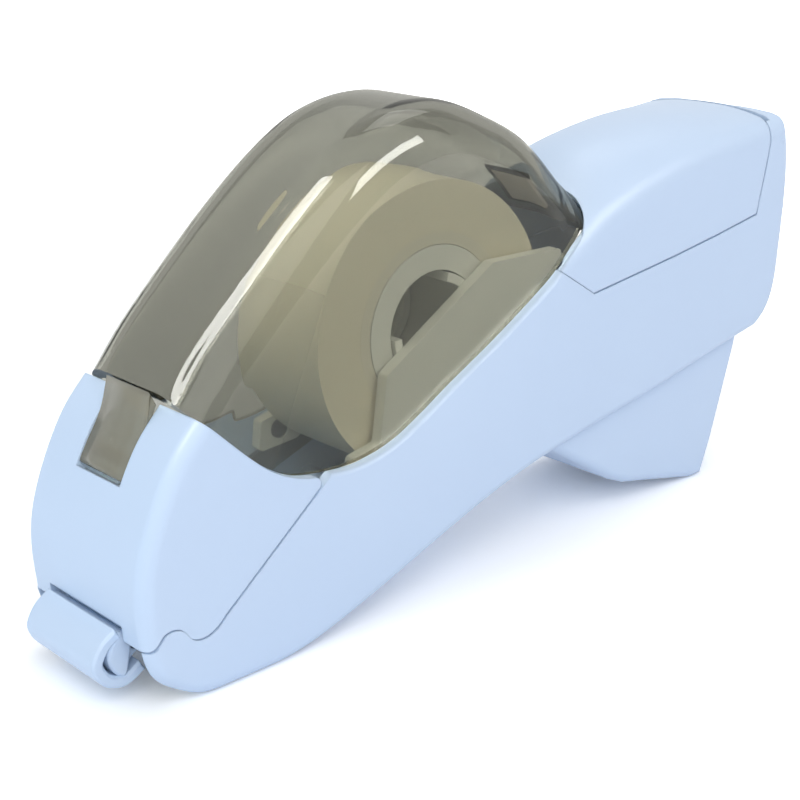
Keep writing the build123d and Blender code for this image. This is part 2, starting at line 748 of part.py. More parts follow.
with BuildPart() as crank_pin:
    bar(crank, crank_pin_radius - thread_play, arm_inner, crank_pin_end - arm_inner)

with BuildPart() as lever_pivot_pin:
    bar(pivot, pivot_radius - thread_play, -roller_pin_half, 2 * roller_pin_half)

# The lever's return spring: a wound sleeve on the pivot pin, with one leg on the floor
spring_radius = 3.0
spring_bore = 1.9
leg_radius = 0.4
leg_tip_shares = (0.479, 0.2107)
short_leg_shares = (0.5803, 0.229)

with BuildPart() as lever_spring:
    bar(pivot, spring_radius, -spring_half, 2 * spring_half)
    leg_start = (pivot[0], pivot[1] + spring_radius - leg_radius)
    with BuildSketch(side_plane(spring_half - 2 * leg_radius)) as leg:
        link_plate(leg_start, spot(leg_tip_shares), leg_radius)
    extrude(leg.sketch, amount=-2 * leg_radius)
    short_start = (pivot[0], pivot[1] - spring_radius + leg_radius)
    with BuildSketch(side_plane(-spring_half)) as short_leg:
        link_plate(short_start, spot(short_leg_shares), leg_radius)
    extrude(short_leg.sketch, amount=-2 * leg_radius)
    bored(pivot, spring_bore, -spring_half, 2 * spring_half)

# Drive link: a flat bar along the right wall that turns the squeeze into the blade's drop
cam = spot(cam_share)
cam_pin_radius = 1.3
cam_plate_radius = 2.7
link_bend = spot(link_bend_share)
link_half = 2.1
link_travel = 3.36
link_way = (-0.946, -0.3255)
cut_depth = 5.5
crank_drop = 0.7
cam_low = (cam[0] - link_travel * link_way[0], cam[1] - cut_depth - link_travel * link_way[1])
crank_low = (crank[0] - crank_drop * link_way[1], crank[1] + crank_drop * link_way[0])

with BuildPart() as drive_link:
    with BuildSketch(side_plane(slot_inner)) as link_outline:
        link_plate(crank, link_bend, link_half)
        link_plate(link_bend, cam, link_half)
        link_plate(cam, cam_low, cam_plate_radius)
        link_plate(crank, crank_low, cam_plate_radius)
    extrude(link_outline.sketch, amount=-link_thickness)
    with BuildSketch(side_plane(slot_inner)) as link_slots:
        link_plate(cam, cam_low, cam_pin_radius + body_play / 2)
        link_plate(crank, crank_low, crank_pin_radius + body_play / 2)
    extrude(link_slots.sketch, amount=-link_thickness, mode=Mode.SUBTRACT)

# Blade carrier: a plate that slides down in the nose's ribs, with a lug for the cam pin
carrier_corner_shares = (0.0725, 0.1077)
carrier_top_share = 0.280
carrier_thickness = 1.8
carrier_side_play = 0.5
carrier_half = inner_half - carrier_side_play
lug_half = 2.2
blade_thickness = 0.6
blade_half = roller_half
blade_top_share = 0.193
tooth_share = 0.0918
tooth_depth = 0.9
tooth_count = 16
blade_screw_spread = 6.0
blade_screw_share = 0.1664
blade_screw_radius = 0.9
blade_head_radius = 1.5
blade_head_thickness = 0.6
carrier_front, carrier_low = spot(carrier_corner_shares)
carrier_high = carrier_top_share * height
blade_high = blade_top_share * height
tooth_low = tooth_share * height
blade_screw_height = blade_screw_share * height
carrier_rear = carrier_front + carrier_thickness
blade_rear = carrier_rear + blade_thickness

with BuildPart() as blade_carrier:
    with BuildSketch() as carrier_side:
        with Locations((carrier_front, carrier_low)):
            Rectangle(carrier_thickness, carrier_high - carrier_low, align=(Align.MIN, Align.MIN))
    plate(carrier_side.sketch, -carrier_half, 2 * carrier_half)
    with BuildSketch(side_plane(arm_inner)) as lug:
        link_plate((carrier_rear, cam[1]), cam, lug_half)
    extrude(lug.sketch, amount=arm_inner - arm_outer)
    bored(cam, cam_pin_radius, arm_inner, arm_outer - arm_inner)
    with BuildSketch(Plane.YZ.offset(carrier_front)) as carrier_holes:
        with Locations((-blade_screw_spread, blade_screw_height),
                       (blade_screw_spread, blade_screw_height)):
            Circle(blade_screw_radius)
    extrude(carrier_holes.sketch, amount=carrier_thickness, mode=Mode.SUBTRACT)

with BuildPart() as cam_pin:
    bar(cam, cam_pin_radius - thread_play, arm_inner, crank_pin_end - arm_inner)

# Serrated blade, its edge below the carrier
tooth_pitch = 2 * blade_half / tooth_count
teeth = []
for i in range(tooth_count):
    start = blade_half - i * tooth_pitch
    teeth += [(start, tooth_low + tooth_depth), (start - tooth_pitch / 2, tooth_low)]

with BuildPart() as cutting_blade:
    with BuildSketch(Plane.YZ.offset(carrier_rear)):
        Polygon((-blade_half, tooth_low + tooth_depth), (-blade_half, blade_high),
                (blade_half, blade_high), *teeth, align=None)
        with Locations((-blade_screw_spread, blade_screw_height),
                       (blade_screw_spread, blade_screw_height)):
            Circle(blade_screw_radius, mode=Mode.SUBTRACT)
    extrude(amount=blade_thickness)

with BuildPart() as blade_screws:
    with BuildSketch(Plane.YZ.offset(carrier_front)) as shanks:
        with Locations((-blade_screw_spread, blade_screw_height),
                       (blade_screw_spread, blade_screw_height)):
            Circle(blade_screw_radius - thread_play)
    extrude(shanks.sketch, amount=carrier_thickness + blade_thickness)
    with BuildSketch(Plane.YZ.offset(blade_rear)) as heads:
        with Locations((-blade_screw_spread, blade_screw_height),
                       (blade_screw_spread, blade_screw_height)):
            Circle(blade_head_radius)
    extrude(heads.sketch, amount=blade_head_thickness)

# Presser foot: a curled lip in front, and the core that carries it on the foot's pivot
lip_thickness = 1.8
foot_eye_radius = 1.55
core_side_room = 0.1
core_half = lip_half - core_side_room
core_radius = 1.8
core_high_shares = (0.0305, 0.127)
core_low_shares = (0.0300, 0.0885)
core_elbow_shares = (0.0550, 0.110)
lip_outer = spots(lip_shares)
lip_inner = shifted(lip_outer, -lip_thickness)

with BuildPart() as presser_foot:
    with BuildSketch() as lip_face:
        with BuildLine():
            Spline(*lip_outer)
            Line(lip_outer[-1], lip_inner[-1])
            Spline(*reversed(lip_inner))
            Line(lip_inner[0], lip_outer[0])
        make_face()
    plate(lip_face.sketch, -lip_half, 2 * lip_half)

with BuildPart() as foot_core:
    with BuildSketch() as core_face:
        link_plate(spot(core_high_shares), spot(core_low_shares), core_radius)
        link_plate(foot_pivot, spot(core_elbow_shares), foot_eye_radius)
        link_plate(spot(core_elbow_shares), spot(core_low_shares), foot_eye_radius)
        add(lip_face.sketch, mode=Mode.SUBTRACT)
    plate(core_face.sketch, -core_half, 2 * core_half)
    bored(foot_pivot, foot_pin_radius + body_play, -core_half, 2 * core_half)

left_shell.part.label = "left_shell"
export_step(left_shell.part, "parts/left_shell.step")
right_shell.part.label = "right_shell"
export_step(right_shell.part, "parts/right_shell.step")
case_screws.part.label = "case_screws"
export_step(case_screws.part, "parts/case_screws.step")
rear_cover.part.label = "rear_cover"
export_step(rear_cover.part, "parts/rear_cover.step")
nose_cover.part.label = "nose_cover"
export_step(nose_cover.part, "parts/nose_cover.step")
dome_cover.part.label = "dome_cover"
export_step(dome_cover.part, "parts/dome_cover.step")
dome_hinge_pin.part.label = "dome_hinge_pin"
export_step(dome_hinge_pin.part, "parts/dome_hinge_pin.step")
left_cheek.part.label = "left_cheek"
export_step(left_cheek.part, "parts/left_cheek.step")
right_cheek.part.label = "right_cheek"
export_step(right_cheek.part, "parts/right_cheek.step")
cheek_screws.part.label = "cheek_screws"
export_step(cheek_screws.part, "parts/cheek_screws.step")
tape_hub.part.label = "tape_hub"
export_step(tape_hub.part, "parts/tape_hub.step")
tape_core.part.label = "tape_core"
export_step(tape_core.part, "parts/tape_core.step")
tape_roll.part.label = "tape_roll"
export_step(tape_roll.part, "parts/tape_roll.step")
tape_tail.part.label = "tape_tail"
export_step(tape_tail.part, "parts/tape_tail.step")
guide_roller.part.label = "guide_roller"
export_step(guide_roller.part, "parts/guide_roller.step")
roller_pin.part.label = "roller_pin"
export_step(roller_pin.part, "parts/roller_pin.step")
squeeze_lever.part.label = "squeeze_lever"
export_step(squeeze_lever.part, "parts/squeeze_lever.step")
crank_arm.part.label = "crank_arm"
export_step(crank_arm.part, "parts/crank_arm.step")
crank_pin.part.label = "crank_pin"
export_step(crank_pin.part, "parts/crank_pin.step")
lever_pivot_pin.part.label = "lever_pivot_pin"
export_step(lever_pivot_pin.part, "parts/lever_pivot_pin.step")
lever_spring.part.label = "lever_spring"
export_step(lever_spring.part, "parts/lever_spring.step")
drive_link.part.label = "drive_link"
export_step(drive_link.part, "parts/drive_link.step")
blade_carrier.part.label = "blade_carrier"
export_step(blade_carrier.part, "parts/blade_carrier.step")
cam_pin.part.label = "cam_pin"
export_step(cam_pin.part, "parts/cam_pin.step")
cutting_blade.part.label = "cutting_blade"
export_step(cutting_blade.part, "parts/cutting_blade.step")
blade_screws.part.label = "blade_screws"
export_step(blade_screws.part, "parts/blade_screws.step")
presser_foot.part.label = "presser_foot"
export_step(presser_foot.part, "parts/presser_foot.step")
foot_core.part.label = "foot_core"
export_step(foot_core.part, "parts/foot_core.step")
foot_pivot_pin.part.label = "foot_pivot_pin"
export_step(foot_pivot_pin.part, "parts/foot_pivot_pin.step")
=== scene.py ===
import json
from math import cos, pi, radians, sin

import bmesh
import bpy
import numpy as np
from mathutils import Matrix, Vector


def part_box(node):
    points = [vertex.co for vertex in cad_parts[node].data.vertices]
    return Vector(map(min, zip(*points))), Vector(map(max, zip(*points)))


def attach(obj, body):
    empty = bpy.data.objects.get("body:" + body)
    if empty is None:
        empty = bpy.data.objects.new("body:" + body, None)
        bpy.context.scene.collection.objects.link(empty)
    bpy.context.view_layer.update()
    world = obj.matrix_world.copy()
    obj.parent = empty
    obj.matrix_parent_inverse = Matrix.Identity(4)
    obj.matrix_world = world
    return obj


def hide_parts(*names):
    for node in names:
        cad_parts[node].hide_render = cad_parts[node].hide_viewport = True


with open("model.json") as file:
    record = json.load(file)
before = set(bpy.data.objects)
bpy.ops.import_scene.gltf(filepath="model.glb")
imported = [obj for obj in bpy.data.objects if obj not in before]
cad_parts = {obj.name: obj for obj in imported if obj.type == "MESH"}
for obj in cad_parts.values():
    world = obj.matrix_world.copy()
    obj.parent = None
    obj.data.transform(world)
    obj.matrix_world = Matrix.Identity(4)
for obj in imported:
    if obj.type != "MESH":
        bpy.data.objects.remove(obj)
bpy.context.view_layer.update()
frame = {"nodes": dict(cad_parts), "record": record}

# The camera: a short telephoto in front of the tool's nose and to its left, a little above it,
# with its axis rolled by two degrees. Its place is counted from the middle of the roll of tape.
mm = 0.001
length, width, height = 142 * mm, 31 * mm, 75.7 * mm
roll_middle = Vector((-8.66 * mm, 0, 41.18 * mm))
azimuth, elevation, lean = radians(-40.44), radians(20.02), radians(-2.19)
distance, shift_right, shift_up = 255.19 * mm, 1.53 * mm, -13.27 * mm
focal_pixels, image_pixels, sensor = 1655.06, 800, 36.0
nearest_seen = 10 * mm

back = Vector((sin(azimuth) * cos(elevation), -cos(azimuth) * cos(elevation), sin(elevation)))
level_right = (-back).cross(Vector((0, 0, 1))).normalized()
level_up = level_right.cross(-back)
right = level_right * cos(lean) + level_up * sin(lean)
up = level_up * cos(lean) - level_right * sin(lean)
place = roll_middle + back * distance + right * shift_right + up * shift_up

camera = bpy.data.objects.new("camera", bpy.data.cameras.new("camera"))
camera.data.sensor_width = sensor
camera.data.lens = focal_pixels * sensor / image_pixels
camera.data.clip_start = nearest_seen
turn = Matrix((right, up, back)).transposed().to_4x4()
camera.matrix_world = Matrix.Translation(place) @ turn
bpy.context.scene.collection.objects.link(camera)
bpy.context.scene.camera = camera
bpy.context.scene.view_settings.view_transform = "Standard"


# The studio: an even pale room with soft boxes round the table. Rays that come straight from
# the camera, off a gloss or through the clear dome see the room white.
room_hex, room_level = "eef1f8", 0.64


def linear(hex_colour):
    """An sRGB hex colour as linear red, green and blue, with an alpha of one."""
    channels = [int(hex_colour[i:i + 2], 16) / 255 for i in (0, 2, 4)]
    out = [c / 12.92 if c <= 0.04045 else ((c + 0.055) / 1.055) ** 2.4 for c in channels]
    return (*out, 1.0)


def node(tree, kind, settings=None, numbered=None, **named):
    """Add a node, set its own settings, and give its sockets values or links.

    numbered holds sockets by number, for those that share a name, and named holds the others.
    """
    made = tree.nodes.new(kind)
    for key, value in (settings or {}).items():
        setattr(made, key, value)
    wanted = [(made.inputs[key], value) for key, value in (numbered or {}).items()]
    wanted += [(made.inputs[key.replace("_", " ")], value) for key, value in named.items()]
    for socket, value in wanted:
        if isinstance(value, bpy.types.NodeSocket):
            tree.links.new(value, socket)
        else:
            socket.default_value = value
    return made


def seen_white(tree):
    """One where a ray comes straight from the camera, off a gloss or through the clear dome."""
    path = node(tree, "ShaderNodeLightPath")
    first = node(tree, "ShaderNodeMath", {"operation": "MAXIMUM"},
                 {0: path.outputs["Is Camera Ray"], 1: path.outputs["Is Glossy Ray"]})
    second = node(tree, "ShaderNodeMath", {"operation": "MAXIMUM"},
                  {0: first.outputs[0], 1: path.outputs["Is Transmission Ray"]})
    return second.outputs[0]


world = bpy.data.worlds.new("studio")
bpy.context.scene.world = world
world.use_nodes = True
world.node_tree.nodes.clear()
room = node(world.node_tree, "ShaderNodeBackground", Color=linear(room_hex), Strength=room_level)
backdrop = node(world.node_tree, "ShaderNodeBackground", Color=linear("ffffff"), Strength=1.0)
choice = node(world.node_tree, "ShaderNodeMixShader", None,
              {1: room.outputs[0], 2: backdrop.outputs[0]}, Fac=seen_white(world.node_tree))
node(world.node_tree, "ShaderNodeOutputWorld", Surface=choice.outputs[0])

# Each soft box by name, place, what it faces, width in metres, watts, colour, and its height as
# a multiple of its width. The glints only show as streaks in the dome: one hangs over the nose
# and one stands beside the tool.
soft_boxes = [
    ("front soft box", (-0.27, -0.41, 0.42), (0, 0, 0.04), 0.50, 1.5, "ffffff", 1.0),
    ("rear soft box", (0.24, 0.14, 0.60), (0, 0, 0.03), 0.28, 0.56, "ffffff", 1.0),
    ("nose soft box", (-0.50, 0.0, 0.20), (0, 0, 0.03), 0.35, 0.32, "d4f4ff", 1.0),
    ("front glint", (-0.34, -0.04, 0.58), (-0.03, 0, 0.05), 0.17, 4.6, "ffffff", 2.4),
    ("side glint", (0.16, -0.44, 0.44), (0, 0, 0.05), 0.32, 2.4, "ffffff", 0.45),
]
for name, where, aim, size, watts, colour, stretch in soft_boxes:
    light = bpy.data.lights.new(name, "AREA")
    light.shape = "RECTANGLE"
    light.size = size
    light.size_y = size * stretch
    light.energy = watts
    light.color = linear(colour)[:3]
    lamp = bpy.data.objects.new(name, light)
    facing = (Vector(aim) - Vector(where)).to_track_quat("-Z", "Y").to_matrix().to_4x4()
    lamp.matrix_world = Matrix.Translation(where) @ facing
    lamp.visible_diffuse = not name.endswith("glint")
    bpy.context.scene.collection.objects.link(lamp)


# The table: matte seamless paper, nearly white for the light that it gives back. For rays that
# see the room white it is drawn brighter, the more so away from the tool, and so the paper stays
# white round the tool's shadow.
paper_half, glow_start, glow_end = 1500 * mm, 120 * mm, 400 * mm
glow_near, glow_far = 0.03, 0.80
paper_hex, shown_paper = "eef0f8", (1.38, 1.36, 1.33, 1)


def shader(name):
    """A new material with an empty node tree."""
    made = bpy.data.materials.new(name)
    made.use_nodes = True
    made.node_tree.nodes.clear()
    return made


paper = shader("white seamless paper")
paper_tree = paper.node_tree
matte = node(paper_tree, "ShaderNodeBsdfDiffuse", Color=linear(paper_hex))
bright = node(paper_tree, "ShaderNodeBsdfDiffuse", Color=shown_paper)
spot_on = node(paper_tree, "ShaderNodeNewGeometry")
away = node(paper_tree, "ShaderNodeVectorMath", {"operation": "LENGTH"},
            {0: spot_on.outputs["Position"]})
fade = node(paper_tree, "ShaderNodeMapRange", Value=away.outputs["Value"], From_Min=glow_start,
            From_Max=glow_end, To_Min=glow_near, To_Max=glow_far)
glow = node(paper_tree, "ShaderNodeEmission", Color=linear("ffffff"), Strength=fade.outputs[0])
shown = node(paper_tree, "ShaderNodeAddShader", None, {0: bright.outputs[0], 1: glow.outputs[0]})
either = node(paper_tree, "ShaderNodeMixShader", None, {1: matte.outputs[0], 2: shown.outputs[0]},
              Fac=seen_white(paper_tree))
node(paper_tree, "ShaderNodeOutputMaterial", Surface=either.outputs[0])

paper_mesh = bpy.data.meshes.new("table")
paper_mesh.from_pydata([(-paper_half, -paper_half, 0), (paper_half, -paper_half, 0),
                        (paper_half, paper_half, 0), (-paper_half, paper_half, 0)],
                       [], [(0, 1, 2, 3)])
paper_mesh.materials.append(paper)
table = bpy.data.objects.new("table", paper_mesh)
bpy.context.scene.collection.objects.link(table)


# Case: two half shells screwed together from the far side, a rear cover over the handle, a nose
# cover over the cutting gear, and the squeeze lever that swings out under the handle. All are
# moulded in pale blue ABS.
cloud_size, cloud_shade = 16.67 * mm, (0.97, 0.97, 0.98, 1)
speckle_size, speckle_depth = 1.429 * mm, 0.05 * mm
node_crease, node_merge_gap = radians(24), 0.001 * mm

# The crown of the handle at stations along its length: x, then the heights of its middle and of
# its shoulders. The CAD joins the stations by straight runs and has two slopes. The moulding
# curves through them both ways.
crown_shares = [(0.587, 0.660, 0.620), (0.629, 0.722, 0.655), (0.660, 0.768, 0.683),
                (0.700, 0.806, 0.710), (0.742, 0.826, 0.735), (0.812, 0.841, 0.768),
                (0.882, 0.844, 0.790), (1.002, 0.833, 0.822)]
crown_band, half_width = 5.0 * mm, width / 2
crown_power = 2.4
crown_depth, crown_fade, crown_start = 9 * mm, 4 * mm, 1 * mm
cross_cut_shares, long_cut_share = (0.56, 0.995), 0.9
cross_cuts, long_cuts = 36, 19

body_of = {name: body for body, names in frame["record"]["behaviour"]["bodies"].items()
           for name in names}


def plastic(name, hex_colour, roughness, edge, grain=0.04, shine=0.5):
    """Moulded plastic: nearly one colour, clouded by a few parts in a hundred, with a faint
    speckle from the mould and edges that look eased over a small radius."""
    made = shader(name)
    tree = made.node_tree
    place_in = node(tree, "ShaderNodeTexCoord")
    cloud = node(tree, "ShaderNodeTexNoise", Vector=place_in.outputs["Object"],
                 Scale=1 / cloud_size, Detail=3.0)
    pure = linear(hex_colour)
    clouded = [part * share for part, share in zip(pure, cloud_shade)]
    tint = node(tree, "ShaderNodeMixRGB", Fac=cloud.outputs[0], Color1=clouded, Color2=pure)
    round_edge = node(tree, "ShaderNodeBevel", {"samples": 4}, Radius=edge)
    speckle = node(tree, "ShaderNodeTexNoise", Vector=place_in.outputs["Object"],
                   Scale=1 / speckle_size, Detail=2.0)
    bump = node(tree, "ShaderNodeBump", Strength=grain, Distance=speckle_depth,
                Height=speckle.outputs[0], Normal=round_edge.outputs[0])
    skin = node(tree, "ShaderNodeBsdfPrincipled", Base_Color=tint.outputs[0], Roughness=roughness,
                Normal=bump.outputs[0], Specular_IOR_Level=shine)
    node(tree, "ShaderNodeOutputMaterial", Surface=skin.outputs[0])
    return made


def smooth_line(points, count):
    """count places along a Catmull-Rom curve through the points, evenly spread by length.

    Between points p1 and p2, with p0 and p3 on either side, the curve is
    (2 p1 + (p2 - p0) t + (2 p0 - 5 p1 + 4 p2 - p3) t^2 + (3 p1 - p0 - 3 p2 + p3) t^3) / 2.
    """
    ends = np.vstack([2 * points[0] - points[1], points, 2 * points[-1] - points[-2]])
    p0, p1, p2, p3 = (ends[k:len(ends) - 3 + k, None, :] for k in range(4))
    t = np.linspace(0, 1, 24, endpoint=False)[None, :, None]
    run = (2 * p1 + (p2 - p0) * t + (2 * p0 - 5 * p1 + 4 * p2 - p3) * t ** 2
           + (3 * p1 - p0 - 3 * p2 + p3) * t ** 3) / 2
    run = np.vstack([run.reshape(-1, points.shape[1]), points[-1:]])
    gone = np.append(0, np.cumsum(np.linalg.norm(np.diff(run, axis=0), axis=1)))
    marks = np.linspace(0, gone[-1], count)
    return np.column_stack([np.interp(marks, gone, run[:, k]) for k in range(points.shape[1])])


def crowned(places):
    """Places on the CAD's faceted crown, moved up or down onto the smooth one.

    With c and s the heights of the middle and the shoulders at x, and t = |y| / half width, the
    CAD has z = c - (c - s) max(0, t - t0) / (1 - t0) and the smooth crown z = c' - (c' - s') t^2.4,
    where c' and s' run through the stations in curves. The shift fades out down the sides.
    """
    x, y, z = places.T
    stations = np.array(crown_shares) * [length, height, height] - [length / 2, 0, 0]
    curve = smooth_line(stations, 400)
    t = np.minimum(np.abs(y) / half_width, 1)
    band = crown_band / half_width
    middle, shoulder = (np.interp(x, stations[:, 0], stations[:, k]) for k in (1, 2))
    soft_middle, soft_shoulder = (np.interp(x, curve[:, 0], curve[:, k]) for k in (1, 2))
    flat = middle - (middle - shoulder) * np.maximum(0, t - band) / (1 - band)
    round_top = soft_middle - (soft_middle - soft_shoulder) * t ** crown_power
    weight = (np.clip((z - flat + crown_depth) / crown_fade, 0, 1)
              * np.clip((x - stations[0, 0]) / crown_start, 0, 1))
    return np.column_stack([x, y, z + (round_top - flat) * weight])


def sliced(grid, axis, marks):
    """Cut the mesh's faces along planes across one axis, so that it can bend."""
    across = Vector([float(k == axis) for k in range(3)])
    for mark in marks:
        bmesh.ops.bisect_plane(grid, geom=[*grid.verts, *grid.edges, *grid.faces],
                               plane_co=across * mark, plane_no=across, dist=0.0)


def smoothed(grid, crease):
    """Shade every face smooth, and keep the edges that turn more than the crease sharp."""
    for face in grid.faces:
        face.smooth = True
    for edge in grid.edges:
        if len(edge.link_faces) == 2 and edge.calc_face_angle(0) > crease:
            edge.smooth = False


def dressed(name, material, crown=False):
    """A copy of a CAD node with its loose triangles joined, its shading smooth up to a crease,
    and, on the handle, its facets bent onto the smooth crown."""
    mesh = frame["nodes"][name].data.copy()
    grid = bmesh.new()
    grid.from_mesh(mesh)
    bmesh.ops.remove_doubles(grid, verts=grid.verts, dist=node_merge_gap)
    bmesh.ops.recalc_face_normals(grid, faces=grid.faces)
    bmesh.ops.dissolve_degenerate(grid, dist=node_merge_gap, edges=grid.edges)
    if crown:
        sliced(grid, 0, np.linspace(*cross_cut_shares, cross_cuts) * length - length / 2)
        sliced(grid, 1, np.linspace(-long_cut_share, long_cut_share, long_cuts) * half_width)
        grid.to_mesh(mesh)
        places = np.empty(len(mesh.vertices) * 3)
        mesh.vertices.foreach_get("co", places)
        mesh.vertices.foreach_set("co", crowned(places.reshape(-1, 3)).ravel())
        grid.clear()
        grid.from_mesh(mesh)
    smoothed(grid, node_crease)
    grid.to_mesh(mesh)
    grid.free()
    mesh.materials.clear()
    mesh.materials.append(material)
    piece = bpy.data.objects.new(name + "_skin", mesh)
    bpy.context.scene.collection.objects.link(piece)
    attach(piece, body_of[name])
    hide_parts(name)


# ABS, injection moulded in a polished mould: a satin gloss, softer than acrylic's
blue_abs = plastic("pale blue ABS", "cfe1f5", roughness=0.40, edge=0.35 * mm, shine=0.4)
for name in ("left_shell", "right_shell", "rear_cover"):
    dressed(name, blue_abs, crown=True)
for name in ("nose_cover", "squeeze_lever"):
    dressed(name, blue_abs)


# Fasteners and drive: the screws of the case, the cheeks and the blade, the pins that the moving
# parts turn on, and the crank arm, link, spring and blade between the lever and the nose. All
# are plain steel, turned from rod, wound from wire or stamped from sheet, and left bare.
steel_hex, steel_roughness = "b4b6ba", 0.32
handled_size, handled_share = 2 * mm, 0.3

# Bare steel, drawn and rolled: one grey, its gloss cloudy where it was handled
plain_steel = shader("plain steel")
steel_tree = plain_steel.node_tree
steel_place = node(steel_tree, "ShaderNodeTexCoord")
handled = node(steel_tree, "ShaderNodeTexNoise", Vector=steel_place.outputs["Object"],
               Scale=1 / handled_size, Detail=3.0)
steel_gloss = node(steel_tree, "ShaderNodeMapRange", Value=handled.outputs[0],
                   To_Min=steel_roughness * (1 - handled_share),
                   To_Max=steel_roughness * (1 + handled_share))
steel_skin = node(steel_tree, "ShaderNodeBsdfPrincipled", Base_Color=linear(steel_hex),
                  Metallic=1.0, Roughness=steel_gloss.outputs[0])
node(steel_tree, "ShaderNodeOutputMaterial", Surface=steel_skin.outputs[0])
for name in ("case_screws", "cheek_screws", "blade_screws", "dome_hinge_pin", "roller_pin",
             "lever_pivot_pin", "foot_pivot_pin", "crank_pin", "cam_pin", "crank_arm",
             "drive_link", "lever_spring", "cutting_blade"):
    dressed(name, plain_steel)


# Cheeks, hub and blade carrier: the two plates that hold the roll between them, the ring that
# the roll turns on, and the block that slides in the nose. They rub on other parts, so they are
# moulded in natural acetal, off-white and faintly waxy.
pale_acetal = plastic("natural acetal", "f4f4ec", roughness=0.42, edge=0.25 * mm)
for name in ("left_cheek", "right_cheek", "tape_hub", "blade_carrier"):
    dressed(name, pale_acetal)


# Guide roller: a short tube of moulded black rubber on its pin, which the tape runs over on its
# way to the nose. It is dull and has a deeper speckle than the plastics.
black_rubber = plastic("black rubber", "1f2022", roughness=0.6, edge=0.2 * mm, grain=0.2)
dressed("guide_roller", black_rubber)


# Roll of tape: the film wound on a moulded core that slips over the hub, and the end of the film
# where it leaves the roll for the guide roller. The core is milky polystyrene, an even cream with
# a soft gloss.
milky_core = plastic("milky polystyrene", "ece6d4", roughness=0.4, edge=0.1 * mm)
dressed("tape_core", milky_core)

# Wound film, cast smooth: clear in one layer and beige in many, with faint rings on its sides. A
# layer is far too thin to show, so the rings are drawn about eight times as wide.
ring_width, film_roughness = 0.4167 * mm, 0.28
roll_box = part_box("tape_roll")
roll_axis = [(low + high) / 2 for low, high in zip(*roll_box)]
wound_film = shader("wound film")
film_tree = wound_film.node_tree
film_place = node(film_tree, "ShaderNodeTexCoord")
from_axis = node(film_tree, "ShaderNodeVectorMath", {"operation": "SUBTRACT"},
                 {0: film_place.outputs["Object"], 1: (roll_axis[0], 0, roll_axis[2])})
flattened = node(film_tree, "ShaderNodeVectorMath", {"operation": "MULTIPLY"},
                 {0: from_axis.outputs[0], 1: (1, 0, 1)})
radius_out = node(film_tree, "ShaderNodeVectorMath", {"operation": "LENGTH"},
                  {0: flattened.outputs[0]})
rings = node(film_tree, "ShaderNodeTexNoise", {"noise_dimensions": "1D"}, Scale=1 / ring_width,
             Detail=3.0, W=radius_out.outputs["Value"])
shade = node(film_tree, "ShaderNodeMixRGB", Fac=rings.outputs[0], Color1=linear("ece4cc"),
             Color2=linear("f3ecd8"))
film_skin = node(film_tree, "ShaderNodeBsdfPrincipled", Base_Color=shade.outputs[0],
                 Roughness=film_roughness)
node(film_tree, "ShaderNodeOutputMaterial", Surface=film_skin.outputs[0])
dressed("tape_roll", wound_film)


def half_clear(name, through, face, share, roughness):
    """A thin clear sheet: seen straight through in one tint, and a share of it as its own face."""
    made = shader(name)
    tree = made.node_tree
    seen_through = node(tree, "ShaderNodeBsdfTransparent", Color=linear(through))
    gloss = node(tree, "ShaderNodeBsdfPrincipled", Base_Color=linear(face), Roughness=roughness)
    both_ways = node(tree, "ShaderNodeMixShader", None,
                     {1: seen_through.outputs[0], 2: gloss.outputs[0]}, Fac=share)
    node(tree, "ShaderNodeOutputMaterial", Surface=both_ways.outputs[0])
    return made


# Single film: one layer is nearly clear, a little milky
single_film = half_clear("single film", "ffffff", "e6e0c8", share=0.03, roughness=0.25)
dressed("tape_tail", single_film)


# Dome: the smoked acrylic hood over the roll, moulded in one with the tongue that it hinges on
# and with the springy latch tab in its rear slope, which two slots and a gap cut free. Its crest
# and brim are side-view places: x counts from the lip, z from the table.
crest_shares = [(0.106, 0.560), (0.142, 0.637), (0.195, 0.730), (0.251, 0.822), (0.307, 0.902),
                (0.355, 0.955), (0.397, 0.981), (0.439, 0.989), (0.480, 0.979), (0.526, 0.943),
                (0.583, 0.880), (0.640, 0.767), (0.6770, 0.680)]
brim_shares = [(0.115, 0.532), (0.136, 0.493), (0.159, 0.449), (0.181, 0.411), (0.204, 0.381),
               (0.226, 0.363), (0.264, 0.351), (0.307, 0.350), (0.350, 0.367), (0.390, 0.401),
               (0.432, 0.443), (0.503, 0.510), (0.563, 0.573), (0.594, 0.611), (0.6335, 0.679)]
hood_half, hood_wall = 14.2 * mm, 1.6 * mm
hood_radius, tail_radius, tail_shares = 8.0 * mm, 6.3 * mm, (0.632, 0.662)
hood_rows, edge_columns, down_steps = 161, 41, 241
lead_rows, lead_points = 40, 60
tab_half, tab_slot, top_columns = 4.3 * mm, 1.1 * mm, (1.5 * mm, 3.0 * mm)
tab_front_share, tab_rear_share = (0.6235, 0.805), (0.664, 0.710)
grip_radius, grip_half, grip_ease, grip_tip = 0.3 * mm, 3.3 * mm, 0.1 * mm, 0.0001 * mm
tongue_shares = [(0.1052, 0.5565), (0.0935, 0.4940), (0.0735, 0.4360), (0.0655, 0.4090),
                 (0.0720, 0.4060), (0.0800, 0.4280), (0.0995, 0.4860), (0.1120, 0.5290)]
tongue_half = 5.55 * mm
barrel_share = (0.083, 0.428)
barrel_radius, barrel_bore = 0.95 * mm, 0.65 * mm
acrylic_ior, dome_crease, part_merge_gap = 1.49, radians(50), 0.002 * mm


def spots(shares):
    """Side-view places in metres of share pairs: x counts from the lip, z from the table."""
    pairs = np.array(shares)
    return np.column_stack([(pairs[:, 0] - 0.5) * length, pairs[:, 1] * height])


